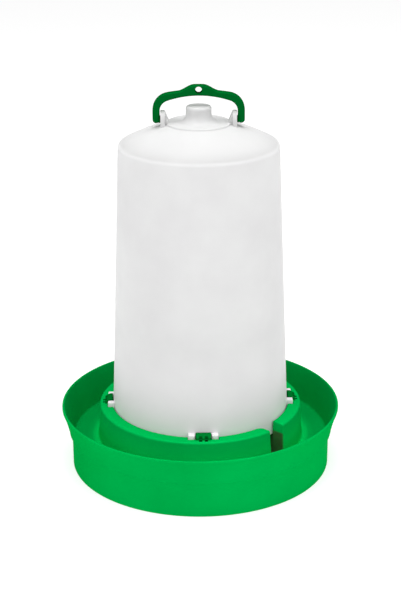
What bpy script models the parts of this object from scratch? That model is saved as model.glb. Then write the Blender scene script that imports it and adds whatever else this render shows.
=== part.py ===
"""Poultry waterer fount.

A round green trough base, a white bell tank that stands in the base's collar, and a green carry
handle that swings on two ears on top of the tank.  Metres, +Z up, origin on the ground under the
axis, front along -Y.  Angles round the axis are counted from the front towards +X.
"""

import math

import bmesh
import bpy
from mathutils import Matrix

OBJECT_NAME = "poultry_waterer_fount"
SIDES = 60                      # flats round every turned shape
ROD_SIDES = 20                  # flats round the handle's pins
ROUND_STEP = math.radians(30)   # a rounded corner has one flat about every 30 degrees
MERGE_DISTANCE = 0.00005
SHARP_ANGLE = math.radians(32)
EDGE_ANGLE = math.radians(60)   # only edges sharper than this are bevelled

# Base: skirt, flared trough wall and rim.
BASE_WALL = 0.0025
RIM_RADIUS = 0.158
RIM_HEIGHT = 0.071
RIM_BEAD = 0.0030               # height of the upright band at the rim
SKIRT_RADIUS = 0.1473
FLARE_FOOT = 0.0305             # height at which the skirt turns into the flare
FOOT_WALL = 0.0034              # thickness of the skirt at the ground
FOOT_ROUND = 0.0008
TROUGH_FLOOR = 0.032
FLOOR_FILLET = 0.0030

# Base: collar round the tank, with a well under the tank's mouth.
COLLAR_HEIGHT = 0.072
COLLAR_RADIUS = 0.1145          # outer edge of the ledge
COLLAR_FOOT_RADIUS = 0.1170     # the collar widens towards the trough's floor
COLLAR_ROUND = 0.0020
COLLAR_BORE = 0.1005
SHELF_HEIGHT = 0.0557           # the tank's mouth stands on this shelf
WELL_RADIUS = 0.0930

# Base: the slot that lets water from the well into the trough.
SLOT_ANGLE = math.radians(47.3)
SLOT_WIDTH = 0.0210
SLOT_FLOOR = 0.0340
SLOT_WALL = 0.0025
SLOT_CORNER = 0.0080            # rounding of the ledge at the slot's near inner corner

# Base: four catches, each in a pocket of the ledge between two lugs of the tank.
CATCH_COUNT = 4
CATCH_ANGLE = math.radians(1.8)
CATCH_WIDTH = 0.0166
CATCH_INNER = 0.1004
CATCH_RIDGE = 0.1035            # its top is level up to here and then slopes down
CATCH_OUTER = 0.1088
CATCH_TOP = 0.0777
CATCH_BROW = 0.0748
POCKET_WIDTH = 0.0340
POCKET_OUTER = 0.1058
POCKET_FLOOR = 0.0680
POCKET_WALL = 0.0022
NOTCH_WIDTH = 0.0034            # two notches through each catch's brow and the ledge before it
NOTCH_SPACING = 0.0062
NOTCH_INNER = 0.1064
NOTCH_OUTER = 0.1114
NOTCH_FLOOR = 0.0692

# Base: two ring ribs underneath, which carry on the walls of the collar and the well.
RIB_WIDTH = 0.0016
RIB_BOTTOM = 0.0030

# Tank: heights are above its foot.
TANK_FOOT_HEIGHT = 0.0560
TANK_WALL = 0.0022
TANK_FOOT_RADIUS = 0.0999
SHOULDER_RADIUS = 0.0876
SHOULDER_HEIGHT = 0.3196
SHOULDER_ROUND = 0.0052
DISC_RADIUS = 0.0345
DISC_HEIGHT = 0.3420
DISC_STEP = 0.0020
DISC_ROUND = 0.0010
DOME_BULGE = 0.0012             # rise of the dome above a straight cone
DOME_FLATS = 6
DOME_SLOPE = 60                 # where the shoulder's arc starts, in degrees above level
KNOB_RADIUS = 0.0137
KNOB_HEIGHT = 0.3595
KNOB_ROUND = 0.0025
KNOB_FILLET = 0.0095

# Tank: two ears for the handle.
PIVOT_HEIGHT = 0.3451           # above the tank's foot
EAR_OUTER = 0.0409
EAR_INNER = 0.0362
EAR_HALF_WIDTH = 0.0095
EAR_FOOT = 0.3385
EAR_TOE = 0.0318                # where the gusset inside each ear meets the disc
GUSSET_HALF_WIDTH = 0.0060
GUSSET_TOP = 0.3530
EAR_HOLE_RADIUS = 0.0030

# Tank: pairs of lugs at the foot, either side of each catch.
LUG_WIDTH = 0.0070
LUG_GAP = 0.0185                # clear width between the two lugs of a pair
LUG_REACH = 0.1053
LUG_ROOT = 0.0978
LUG_BOTTOM = 0.0694             # heights of the lugs above the ground
LUG_TOP = 0.0762

# Handle: measured from its pivot line, which is the X axis of its own frame.
HANDLE_DEPTH = 0.0100
HANDLE_EDGE = 0.0012
LEG_OUTER = 0.0494
LEG_INNER = 0.0418
OUTER_CORNER = 0.0190
OUTER_CORNER_HEIGHT = 0.0100
OUTER_CORNER_TURN = 80          # degrees of the corner's arc
OUTER_CROWN = 0.0315
OUTER_FLATS = 12                # flats from a corner to the middle of the bar
INNER_CORNER = 0.0120
INNER_CORNER_HEIGHT = 0.0090
INNER_CORNER_TURN = 71
INNER_CROWN = 0.0259
INNER_FLATS = 4
HUMP_HEIGHT = 0.0058
HUMP_CREST = 0.0045             # half of the hump's level crest
HUMP_HALF_WIDTH = 0.0225
HANG_HOLE_RADIUS = 0.0037
HANG_HOLE_HEIGHT = 0.0321
PIN_RADIUS = 0.0027
PIN_TIP = 0.0362
BOSS_RADIUS = 0.0040
BOSS_FACE = 0.0412

# Turns a flat section (radius, height, across) so that it stands at the front of the base.
RADIAL_SECTION = Matrix(((0, 0, -1, 0), (-1, 0, 0, 0), (0, 1, 0, 0), (0, 0, 0, 1)))


def clear_scene():
    """Remove whatever the file opened with."""
    for item in list(bpy.data.objects):
        bpy.data.objects.remove(item, do_unlink=True)


def new_collection(name):
    """Make a collection in the scene."""
    collection = bpy.data.collections.new(name)
    bpy.context.scene.collection.children.link(collection)
    return collection


def plastic(name, colour, roughness):
    """Make a plain moulded plastic."""
    material = bpy.data.materials.new(name)
    material.use_nodes = True
    shader = material.node_tree.nodes["Principled BSDF"]
    shader.inputs["Base Color"].default_value = (*colour, 1.0)
    shader.inputs["Roughness"].default_value = roughness
    shader.inputs["Metallic"].default_value = 0.0
    material.diffuse_color = (*colour, 1.0)
    return material


def arc(centre, radius, start, end):
    """Points of an arc, both ends included; angles in degrees from the first axis."""
    sweep = math.radians(end - start)
    count = max(1, round(abs(sweep) / ROUND_STEP))
    points = []
    for index in range(count + 1):
        angle = math.radians(start) + sweep * index / count
        points.append((centre[0] + radius * math.cos(angle), centre[1] + radius * math.sin(angle)))
    return points


def bulged(start, end, rise, count):
    """Points between two ends, bowed outwards by rise at the middle; the ends are left out."""
    along = (end[0] - start[0], end[1] - start[1])
    length = math.hypot(*along)
    outward = (-along[1] / length, along[0] / length)
    points = []
    for index in range(1, count):
        share = index / count
        bow = 4 * rise * share * (1 - share)
        points.append((start[0] + along[0] * share + outward[0] * bow,
                       start[1] + along[1] * share + outward[1] * bow))
    return points


def evaluated_mesh(item):
    """The mesh of an object with its modifiers applied."""
    graph = bpy.context.evaluated_depsgraph_get()
    graph.update()
    return bpy.data.meshes.new_from_object(item.evaluated_get(graph))


def settle(item):
    """Bake the modifiers into the mesh and shade it smooth between its sharp edges."""
    mesh = evaluated_mesh(item)
    item.modifiers.clear()
    item.data = mesh
    mesh.shade_smooth()
    mesh.set_sharp_from_angle(angle=SHARP_ANGLE)


def turned(name, profile, collection):
    """Turn a profile of (radius, height) points about the Z axis; both its ends are on the axis."""
    mesh = bpy.data.meshes.new(name)
    vertices = [(radius, 0.0, height) for radius, height in profile]
    edges = [(index, index + 1) for index in range(len(profile) - 1)]
    mesh.from_pydata(vertices, edges, [])
    item = bpy.data.objects.new(name, mesh)
    collection.objects.link(item)
    screw = item.modifiers.new("Turn", "SCREW")
    screw.axis = "Z"
    screw.angle = math.tau
    screw.steps = SIDES
    screw.render_steps = SIDES
    screw.use_merge_vertices = True
    screw.merge_threshold = MERGE_DISTANCE
    screw.use_smooth_shade = True
    settle(item)
    return item


def add_box(shape, low, high, turn=0.0):
    """Add a box to a bmesh, given in the frame of the front (radius along -Y), then turned."""
    centre = [(a + b) / 2 for a, b in zip(low, high)]
    size = [b - a for a, b in zip(low, high)]
    place = Matrix.Rotation(turn, 4, "Z") @ Matrix.Translation(centre) @ Matrix.Diagonal((*size, 1.0))
    bmesh.ops.create_cube(shape, size=1.0, matrix=place)


def radial_box(shape, width, inner, outer, bottom, top, turn, middle=0.0):
    """Add a box that runs outwards from the axis, at an angle round it."""
    low = (middle - width / 2, -outer, bottom)
    high = (middle + width / 2, -inner, top)
    add_box(shape, low, high, turn)


def add_rod(shape, radius, start, end, height):
    """Add a round rod along X."""
    place = Matrix.Translation(((start + end) / 2, 0.0, height)) @ Matrix.Rotation(math.pi / 2, 4, "Y")
    bmesh.ops.create_cone(shape, cap_ends=True, cap_tris=False, segments=ROD_SIDES, radius1=radius,
                          radius2=radius, depth=abs(end - start), matrix=place)


def helper(name, shape, collection):
    """Turn a bmesh into an object that only cuts or joins."""
    mesh = bpy.data.meshes.new(name)
    bmesh.ops.recalc_face_normals(shape, faces=shape.faces[:])
    shape.to_mesh(mesh)
    shape.free()
    item = bpy.data.objects.new(name, mesh)
    collection.objects.link(item)
    return item


def outline_solid(name, outlines, thickness, collection):
    """Make a flat solid in the XY plane from closed outlines, holes included."""
    curve = bpy.data.curves.new(name, "CURVE")
    curve.dimensions = "2D"
    curve.fill_mode = "BOTH"
    curve.extrude = thickness / 2
    for outline in outlines:
        spline = curve.splines.new("POLY")
        spline.points.add(len(outline) - 1)
        for point, place in zip(spline.points, outline):
            point.co = (place[0], place[1], 0.0, 1.0)
        spline.use_cyclic_u = True
    source = bpy.data.objects.new(name + "_outline", curve)
    collection.objects.link(source)
    mesh = evaluated_mesh(source)
    mesh.name = name
    bpy.data.objects.remove(source, do_unlink=True)
    shape = bmesh.new()
    shape.from_mesh(mesh)
    bmesh.ops.remove_doubles(shape, verts=shape.verts[:], dist=MERGE_DISTANCE)
    bmesh.ops.recalc_face_normals(shape, faces=shape.faces[:])
    shape.to_mesh(mesh)
    shape.free()
    item = bpy.data.objects.new(name, mesh)
    collection.objects.link(item)
    return item


def combine(item, tool, operation):
    """Join or cut an object with a helper."""
    tool.hide_render = True
    tool.display_type = "WIRE"
    change = item.modifiers.new(tool.name, "BOOLEAN")
    change.operation = operation
    change.solver = "EXACT"
    change.object = tool


def base_profile():
    """Section of the base, from the axis over the top, down the outside and back underneath."""
    flare = (RIM_RADIUS - BASE_WALL / 4 - SKIRT_RADIUS) / (RIM_HEIGHT - RIM_BEAD - FLARE_FOOT)
    floor_under = TROUGH_FLOOR - BASE_WALL
    half_wall = BASE_WALL / 2
    lean = (COLLAR_FOOT_RADIUS - COLLAR_RADIUS) / (COLLAR_HEIGHT - TROUGH_FLOOR)

    def trough_wall(height):
        return SKIRT_RADIUS - BASE_WALL + flare * (height - FLARE_FOOT)

    def collar_wall(height):
        return COLLAR_FOOT_RADIUS - lean * (height - TROUGH_FLOOR)

    points = [(0.0, TROUGH_FLOOR)]
    points += arc((WELL_RADIUS - FLOOR_FILLET, TROUGH_FLOOR + FLOOR_FILLET), FLOOR_FILLET, -90, 0)
    points += [(WELL_RADIUS, SHELF_HEIGHT), (COLLAR_BORE, SHELF_HEIGHT)]
    points += [(COLLAR_BORE, COLLAR_HEIGHT - COLLAR_ROUND / 2)]
    points += [(COLLAR_BORE + COLLAR_ROUND / 2, COLLAR_HEIGHT)]
    points += arc((COLLAR_RADIUS - COLLAR_ROUND, COLLAR_HEIGHT - COLLAR_ROUND), COLLAR_ROUND, 90, 0)
    foot = collar_wall(TROUGH_FLOOR + FLOOR_FILLET)
    points += arc((foot + FLOOR_FILLET, TROUGH_FLOOR + FLOOR_FILLET), FLOOR_FILLET, 180, 270)
    edge = trough_wall(TROUGH_FLOOR + FLOOR_FILLET)
    points += arc((edge - FLOOR_FILLET, TROUGH_FLOOR + FLOOR_FILLET), FLOOR_FILLET, -90, 0)
    points += [(RIM_RADIUS - BASE_WALL, RIM_HEIGHT - half_wall)]
    points += arc((RIM_RADIUS - half_wall, RIM_HEIGHT - half_wall), half_wall, 120, 0)
    points += [(RIM_RADIUS, RIM_HEIGHT - RIM_BEAD)]
    points += [(RIM_RADIUS - BASE_WALL / 4, RIM_HEIGHT - RIM_BEAD - BASE_WALL / 4)]
    points += [(SKIRT_RADIUS, FLARE_FOOT)]
    points += arc((SKIRT_RADIUS - FOOT_ROUND, FOOT_ROUND), FOOT_ROUND, 0, -90)
    points += [(SKIRT_RADIUS - FOOT_WALL, 0.0)]
    points += [(SKIRT_RADIUS - BASE_WALL, floor_under - FLOOR_FILLET)]
    points += [(SKIRT_RADIUS - BASE_WALL - FLOOR_FILLET, floor_under)]
    points += ring_rib(COLLAR_FOOT_RADIUS - BASE_WALL + RIB_WIDTH, floor_under)
    points += [(COLLAR_RADIUS - BASE_WALL, COLLAR_HEIGHT - BASE_WALL)]
    points += [(COLLAR_BORE + BASE_WALL, COLLAR_HEIGHT - BASE_WALL)]
    points += [(COLLAR_BORE + BASE_WALL, SHELF_HEIGHT - BASE_WALL)]
    points += [(WELL_RADIUS + BASE_WALL, SHELF_HEIGHT - BASE_WALL)]
    points += ring_rib(WELL_RADIUS + BASE_WALL, floor_under)[1:]
    points += [(0.0, floor_under)]
    return points


def ring_rib(radius, top):
    """Section of a rib that hangs below a wall: down its outer side and up its inner one."""
    inner = radius - RIB_WIDTH
    return [(radius, top), (radius, RIB_BOTTOM), (inner, RIB_BOTTOM), (inner, top)]


def catch_turns():
    """Angles of the catches round the axis."""
    return [CATCH_ANGLE + math.tau * index / CATCH_COUNT for index in range(CATCH_COUNT)]


def slot_corner_outline():
    """Plan of what the rounded ledge corner leaves out, seen at the front: X across, -Y outwards."""
    side = SLOT_WIDTH / 2
    far = side + SLOT_CORNER
    bore = math.sqrt(COLLAR_BORE ** 2 - far ** 2)
    overlap = SLOT_WALL / 2
    points = arc((-far, -bore - SLOT_CORNER), SLOT_CORNER, 90, 0)
    points += [(-side + overlap, -bore - SLOT_CORNER), (-side + overlap, overlap - bore)]
    points += [(-far, overlap - bore)]
    return points


def make_base(parts, cutters, material):
    """The trough base, one moulding."""
    base = turned("base", base_profile(), parts)
    inside = COLLAR_HEIGHT - BASE_WALL / 2
    floor_middle = TROUGH_FLOOR - BASE_WALL / 2
    bore_backing = COLLAR_BORE + BASE_WALL / 4
    left = -SLOT_WIDTH / 2 - SLOT_CORNER - SLOT_WALL
    right = SLOT_WIDTH / 2 + SLOT_WALL

    shape = bmesh.new()
    radial_box(shape, right - left, WELL_RADIUS + BASE_WALL / 2, COLLAR_RADIUS - BASE_WALL / 2,
               floor_middle, SHELF_HEIGHT - BASE_WALL / 2, SLOT_ANGLE, middle=(left + right) / 2)
    combine(base, helper("slot_walls", shape, cutters), "UNION")

    shape = bmesh.new()
    radial_box(shape, right - left, bore_backing, COLLAR_RADIUS - BASE_WALL / 2,
               SHELF_HEIGHT - BASE_WALL, inside, SLOT_ANGLE, middle=(left + right) / 2)
    for turn in catch_turns():
        radial_box(shape, POCKET_WIDTH + 2 * POCKET_WALL, bore_backing,
                   COLLAR_RADIUS - BASE_WALL / 2, POCKET_FLOOR - POCKET_WALL, inside, turn)
    combine(base, helper("ledge_housings", shape, cutters), "UNION")

    shape = bmesh.new()
    above = CATCH_TOP + BASE_WALL
    radial_box(shape, SLOT_WIDTH, WELL_RADIUS - BASE_WALL, COLLAR_FOOT_RADIUS + BASE_WALL,
               SLOT_FLOOR, above, SLOT_ANGLE)
    for turn in catch_turns():
        radial_box(shape, POCKET_WIDTH, CATCH_INNER - BASE_WALL, POCKET_OUTER,
                   POCKET_FLOOR, above, turn)
    combine(base, helper("slot_and_pockets", shape, cutters), "DIFFERENCE")

    corner = outline_solid("slot_corner", [slot_corner_outline()], above - SHELF_HEIGHT, cutters)
    raised = Matrix.Translation((0.0, 0.0, (above + SHELF_HEIGHT) / 2 + BASE_WALL / 8))
    corner.data.transform(Matrix.Rotation(SLOT_ANGLE, 4, "Z") @ raised)
    combine(base, corner, "DIFFERENCE")

    catch_root = POCKET_FLOOR - POCKET_WALL / 2
    section = [(CATCH_INNER, catch_root), (CATCH_OUTER, catch_root), (CATCH_OUTER, CATCH_BROW),
               (CATCH_RIDGE, CATCH_TOP), (CATCH_INNER, CATCH_TOP)]
    catch = outline_solid("catch_section", [section], CATCH_WIDTH, cutters)
    shape = bmesh.new()
    for turn in catch_turns():
        shape.from_mesh(catch.data)
        fresh = shape.verts[-len(catch.data.vertices):]
        bmesh.ops.transform(shape, verts=fresh, matrix=Matrix.Rotation(turn, 4, "Z") @ RADIAL_SECTION)
    bpy.data.objects.remove(catch, do_unlink=True)
    combine(base, helper("catches", shape, cutters), "UNION")

    shape = bmesh.new()
    for turn in catch_turns():
        for side in (-1, 1):
            radial_box(shape, NOTCH_WIDTH, NOTCH_INNER, NOTCH_OUTER, NOTCH_FLOOR, above,
                       turn, middle=side * NOTCH_SPACING / 2)
    combine(base, helper("catch_notches", shape, cutters), "DIFFERENCE")

    settle(base)
    base.data.materials.append(material)
    return base


def tank_contour(inset):
    """The tank's contour from its top on the axis to its foot, moved inwards by inset."""
    knob = KNOB_RADIUS - inset
    knob_round = KNOB_ROUND - inset / 2
    disc = DISC_HEIGHT - inset
    fillet = KNOB_FILLET - inset / 2
    disc_edge = DISC_RADIUS - inset / 2
    dome_start = (disc_edge + DISC_ROUND / 2, disc - DISC_STEP)
    shoulder_round = SHOULDER_ROUND - inset
    shoulder = (SHOULDER_RADIUS - inset, SHOULDER_HEIGHT - shoulder_round)
    points = [(0.0, KNOB_HEIGHT - inset)]
    points += arc((knob - knob_round, KNOB_HEIGHT - inset - knob_round), knob_round, 90, 0)
    points += arc((knob + fillet, disc + fillet), fillet, 180, 270)
    points += [(disc_edge - DISC_ROUND, disc), (disc_edge, disc - DISC_ROUND), dome_start]
    corner = arc((shoulder[0] - shoulder_round, shoulder[1]), shoulder_round, DOME_SLOPE, 0)
    points += bulged(dome_start, corner[0], DOME_BULGE, DOME_FLATS)
    points += corner
    points += [(TANK_FOOT_RADIUS - inset, 0.0)]
    return points


def make_tank(parts, cutters, material):
    """The bell tank, one moulding: a shell with a knob, two ears and four pairs of lugs."""
    tank = turned("tank", tank_contour(0.0) + [(0.0, 0.0)], parts)

    shape = bmesh.new()
    for turn in catch_turns():
        for side in (-1, 1):
            radial_box(shape, LUG_WIDTH, LUG_ROOT, LUG_REACH, LUG_BOTTOM - TANK_FOOT_HEIGHT,
                       LUG_TOP - TANK_FOOT_HEIGHT, turn, middle=side * (LUG_GAP + LUG_WIDTH) / 2)
    combine(tank, helper("tank_lugs", shape, cutters), "UNION")

    ear_top = arc((0.0, PIVOT_HEIGHT), EAR_HALF_WIDTH, 0, 180)
    ear_outline = ear_top + [(-EAR_HALF_WIDTH, EAR_FOOT), (EAR_HALF_WIDTH, EAR_FOOT)]
    ear_middle = (EAR_OUTER + EAR_INNER) / 2
    gusset_outline = [(EAR_TOE, EAR_FOOT), (ear_middle, EAR_FOOT), (ear_middle, GUSSET_TOP),
                      (EAR_INNER, GUSSET_TOP), (EAR_TOE, DISC_HEIGHT)]
    upright = Matrix.Rotation(math.pi / 2, 4, "X")
    sideways = Matrix.Rotation(math.pi / 2, 4, "Z")
    for side, word in ((-1, "left"), (1, "right")):
        ear = outline_solid("ear_" + word, [ear_outline], EAR_OUTER - EAR_INNER, cutters)
        ear.data.transform(Matrix.Translation((side * ear_middle, 0.0, 0.0)) @ sideways @ upright)
        combine(tank, ear, "UNION")
        outline = [(side * x, z) for x, z in gusset_outline]
        gusset = outline_solid("gusset_" + word, [outline], 2 * GUSSET_HALF_WIDTH, cutters)
        gusset.data.transform(upright)
        combine(tank, gusset, "UNION")

    cavity = tank_contour(TANK_WALL)
    below = (cavity[-1][0], -TANK_WALL)
    hollow = turned("tank_hollow", cavity + [below, (0.0, -TANK_WALL)], cutters)
    combine(tank, hollow, "DIFFERENCE")

    shape = bmesh.new()
    for side in (-1, 1):
        add_rod(shape, EAR_HOLE_RADIUS, side * (EAR_TOE - TANK_WALL), side * (EAR_OUTER + TANK_WALL),
                PIVOT_HEIGHT)
    combine(tank, helper("pin_holes", shape, cutters), "DIFFERENCE")

    settle(tank)
    tank.data.materials.append(material)
    return tank


def crown(half_width, end_height, middle_height, count):
    """Points of the handle's top from its corner to its middle, on a flat arc."""
    points = []
    for index in range(1, count):
        share = 1 - index / count
        points.append((half_width * share, middle_height - (middle_height - end_height) * share ** 2))
    return points


def mirrored(half):
    """Close a half outline that runs from the +X side to the middle."""
    return half + [(-x, z) for x, z in reversed(half) if x > MERGE_DISTANCE]


def handle_outline():
    """The bail seen from the front, from its pivot line."""
    leg_middle = (LEG_OUTER + LEG_INNER) / 2
    leg_round = (LEG_OUTER - LEG_INNER) / 2
    outer = arc((LEG_OUTER - OUTER_CORNER, OUTER_CORNER_HEIGHT), OUTER_CORNER, 0, OUTER_CORNER_TURN)
    end = outer[-1]
    for x, z in crown(end[0], end[1], OUTER_CROWN, OUTER_FLATS) + [(0.0, OUTER_CROWN)]:
        hump = 0.0
        if x < HUMP_HALF_WIDTH:
            share = max(0.0, x - HUMP_CREST) / (HUMP_HALF_WIDTH - HUMP_CREST)
            hump = HUMP_HEIGHT * (0.5 + 0.5 * math.cos(math.pi * share))
        outer.append((x, z + hump))
    inner = arc((LEG_INNER - INNER_CORNER, INNER_CORNER_HEIGHT), INNER_CORNER, 0, INNER_CORNER_TURN)
    end = inner[-1]
    inner += crown(end[0], end[1], INNER_CROWN, INNER_FLATS) + [(0.0, INNER_CROWN)]
    foot = arc((leg_middle, 0.0), leg_round, 180, 360)
    outer_line = mirrored(outer)
    inner_line = mirrored(inner)
    left_foot = [(-x, z) for x, z in foot]
    return foot + outer_line + list(reversed(left_foot)) + list(reversed(inner_line))


def make_handle(parts, cutters, material):
    """The carry handle, one moulding: a bail with a hanging hole and two inward pivot pins."""
    hole = arc((0.0, HANG_HOLE_HEIGHT), HANG_HOLE_RADIUS, 0, 360)[:-1]
    handle = outline_solid("handle", [handle_outline(), hole], HANDLE_DEPTH, parts)
    handle.data.transform(Matrix.Rotation(math.pi / 2, 4, "X"))
    edge = handle.modifiers.new("Edge", "BEVEL")
    edge.width = HANDLE_EDGE
    edge.segments = 1
    edge.limit_method = "ANGLE"
    edge.angle_limit = EDGE_ANGLE

    shape = bmesh.new()
    for side in (-1, 1):
        root = side * (LEG_INNER + LEG_OUTER) / 2
        add_rod(shape, BOSS_RADIUS, side * BOSS_FACE, root, 0.0)
    combine(handle, helper("handle_bosses", shape, cutters), "UNION")
    shape = bmesh.new()
    for side in (-1, 1):
        root = side * (LEG_INNER + LEG_OUTER) / 2
        add_rod(shape, PIN_RADIUS, side * PIN_TIP, root, 0.0)
    combine(handle, helper("handle_pins", shape, cutters), "UNION")
    settle(handle)
    handle.data.materials.append(material)
    return handle


def main():
    clear_scene()
    parts = new_collection(OBJECT_NAME)
    cutters = new_collection("cutters")
    base = make_base(parts, cutters, plastic("base_green", (0.0, 0.42, 0.08), 0.38))
    tank = make_tank(parts, cutters, plastic("tank_white", (0.80, 0.80, 0.79), 0.45))
    handle = make_handle(parts, cutters, plastic("handle_green", (0.0, 0.20, 0.03), 0.40))
    tank.parent = base
    tank.location = (0.0, 0.0, TANK_FOOT_HEIGHT)
    handle.parent = tank
    handle.location = (0.0, 0.0, PIVOT_HEIGHT)
    bpy.context.view_layer.update()


main()
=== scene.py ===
import functools
import math

import bpy
import bmesh
import numpy as np
from mathutils import Matrix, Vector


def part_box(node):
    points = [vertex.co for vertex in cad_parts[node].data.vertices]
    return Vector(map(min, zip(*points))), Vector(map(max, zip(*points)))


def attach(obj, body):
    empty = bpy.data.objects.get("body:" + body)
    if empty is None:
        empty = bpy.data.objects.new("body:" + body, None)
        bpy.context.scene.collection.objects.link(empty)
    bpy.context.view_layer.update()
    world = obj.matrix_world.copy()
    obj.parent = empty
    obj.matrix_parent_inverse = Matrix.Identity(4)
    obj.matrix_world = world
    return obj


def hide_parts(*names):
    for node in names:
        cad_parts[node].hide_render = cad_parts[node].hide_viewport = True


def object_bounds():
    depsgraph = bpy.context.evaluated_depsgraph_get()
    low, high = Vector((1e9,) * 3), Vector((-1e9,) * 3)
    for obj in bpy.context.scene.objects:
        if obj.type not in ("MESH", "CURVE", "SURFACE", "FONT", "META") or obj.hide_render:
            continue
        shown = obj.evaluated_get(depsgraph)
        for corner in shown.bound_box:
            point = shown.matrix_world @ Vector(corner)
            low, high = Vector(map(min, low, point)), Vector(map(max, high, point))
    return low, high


# Looks of the poultry waterer fount: smooth, rounded mouldings and their plastics, built round the
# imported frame.  Metres, +Z up, front along -Y.  Angles round the axis are counted from the front
# towards +X.  "Lateral" is the distance sideways from a catch's or the slot's own middle line.
#
# The base and the tank are turned from a section.  Where a catch, a pocket, a lug or the slot breaks the
# round, the section's points are moved column by column.

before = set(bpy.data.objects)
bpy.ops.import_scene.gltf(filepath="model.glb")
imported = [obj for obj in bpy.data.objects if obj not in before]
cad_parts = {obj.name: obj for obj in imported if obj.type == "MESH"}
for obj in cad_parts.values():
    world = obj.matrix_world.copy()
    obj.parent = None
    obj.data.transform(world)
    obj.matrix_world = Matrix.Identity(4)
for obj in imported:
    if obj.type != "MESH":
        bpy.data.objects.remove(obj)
cad_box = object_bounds()
base_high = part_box("base")[1]
tank_low, tank_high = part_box("tank")
handle_low, handle_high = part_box("handle")

MM = 0.001
FILLET_STEP = math.radians(18)
ROD_FILLET_STEP = math.radians(22)
SHARP_ANGLE = math.radians(38)
COLUMN_STEP = math.radians(2.5)
ROD_SIDES = 40
BASE_GAP = 10.0 * MM            # longest stretch between two rows of the base
SHELL_GAP = 8.0 * MM            # the same down the tank's walls
TOP_GAP = 4.0 * MM              # and over the tank's top and its foot
PAIR = 0.02 * MM                # half the gap between the two points of a steep wall
MERGE = 0.002 * MM              # points nearer than this are one point
SEAM = 0.005 * MM               # the same along the edges of a plate

# Base.
RIM_RADIUS = base_high.x
RIM_HEIGHT = 71.0 * MM
RIM_BEAD = 3.0 * MM
WALL = 2.5 * MM
RIM_ROUND = WALL / 2.02         # just short of a full half-round
SKIRT_RADIUS = 147.3 * MM
FLARE_FOOT = 30.5 * MM
FOOT_WALL = 3.4 * MM
TROUGH_FLOOR = 32.0 * MM
FLOOR_FILLET = 3.0 * MM
COLLAR_HEIGHT = 72.0 * MM
COLLAR_RADIUS = 114.5 * MM
COLLAR_FOOT_RADIUS = 117.0 * MM
COLLAR_ROUND = 2.6 * MM
COLLAR_BORE = 100.5 * MM
BORE_ROUND = 1.0 * MM
SHELF_HEIGHT = 55.7 * MM
WELL_RADIUS = 93.0 * MM
DRAFT = 0.15 * MM               # how much the well's and the bore's walls open towards the top

SLOT_ANGLE = math.radians(47.3)
SLOT_SIDE = 10.5 * MM           # half of the slot's width
SLOT_FLOOR = 34.0 * MM
SLOT_WALL = 2.5 * MM
SLOT_CORNER = 8.0 * MM
SLOT_EDGE = 0.8 * MM
SHADOW_TOP = 62.0 * MM            # top of the painted shadow on the slot's walls

CATCH_TURNS = [math.radians(1.8) + math.tau * index / 4 for index in range(4)]
CATCH_SIDE = 8.3 * MM
CATCH_INNER = 100.4 * MM
CATCH_RIDGE = 103.5 * MM
CATCH_OUTER = 108.8 * MM
CATCH_TOP = base_high.z
CATCH_BROW = 74.8 * MM
CATCH_EDGE = 0.5 * MM
POCKET_SIDE = 17.0 * MM
POCKET_OUTER = 105.8 * MM
POCKET_FLOOR = 68.0 * MM
POCKET_WALL = 2.2 * MM
POCKET_EDGE = 0.5 * MM
NOTCH_SIDE = 1.7 * MM
NOTCH_MIDDLE = 3.1 * MM         # from the catch's middle line to the middle of each notch
NOTCH_INNER = 106.4 * MM
NOTCH_OUTER = 111.4 * MM
NOTCH_FLOOR = 69.2 * MM
# At a catch, the rows of the ledge between the middle two of these distances run straight instead of
# round, and from the first and the last on they are round again.  Sideways, they are straight up to
# STRAIGHT_SIDE and round from ROUND_SIDE on.
STRAIGHT_ROWS = (101.6 * MM, 104.0 * MM, 109.2 * MM, 111.6 * MM)
STRAIGHT_SIDE = 18.0 * MM
ROUND_SIDE = 24.0 * MM

RIB_WIDTH = 1.6 * MM
RIB_BOTTOM = 3.0 * MM
FLARE_TURN = 30.0 * MM          # rounding between the skirt and the flare
FLARE_HOLLOW = 0.35 * MM        # how much the flare bows inwards above its ring
HOLLOW_TURN = 20.0 * MM
FLARE_RING = 41.0 * MM          # height of the faint ring round the flare
RING_RISE = 0.35 * MM
FOOT_ROUND = 0.8 * MM
BEAD_ROUND = 0.2 * MM           # under the rim's bead
SOFT_ROUND = 0.4 * MM           # rounding of the bead and of the faint ring's foot
FINE_ROUND = 0.3 * MM           # rounding of the faint ring, the shelf's corner and the ribs
INNER_ROUND = 0.5 * MM          # rounding of the edges underneath and of the shelf
UNDER_ROUND = 1.0 * MM          # rounding at the top of the collar's hollow

# Tank: heights are above the ground.
TANK_FOOT = tank_low.z
TANK_WALL = 2.2 * MM
TANK_FOOT_RADIUS = 99.9 * MM
TANK_FOOT_ROUND = 0.7 * MM
SHOULDER_RADIUS = 87.6 * MM
SHOULDER_HEIGHT = TANK_FOOT + 319.6 * MM
SHOULDER_ROUND = 5.2 * MM
DOME_SLOPE = math.radians(60)   # where the shoulder's rounding meets the dome
DOME_BULGE = 1.2 * MM
DOME_STEPS = 18
SHOULDER_STEPS = 6
DISC_RADIUS = 34.5 * MM
DISC_HEIGHT = TANK_FOOT + 342.0 * MM
DISC_STEP = 2.0 * MM
DISC_ROUND = 1.0 * MM
KNOB_RADIUS = 13.7 * MM
KNOB_HEIGHT = tank_high.z
KNOB_ROUND = 2.5 * MM
KNOB_FILLET = 9.5 * MM
PIVOT_HEIGHT = TANK_FOOT + 345.1 * MM
EAR_OUTER = 40.9 * MM
EAR_INNER = 36.2 * MM
EAR_SIDE = 9.5 * MM
EAR_ROOT = TANK_FOOT + 337.4 * MM
EAR_TOE = 31.8 * MM
EAR_EDGE = 0.6 * MM
GUSSET_SIDE = 6.0 * MM
GUSSET_TOP = TANK_FOOT + 353.0 * MM
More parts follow.
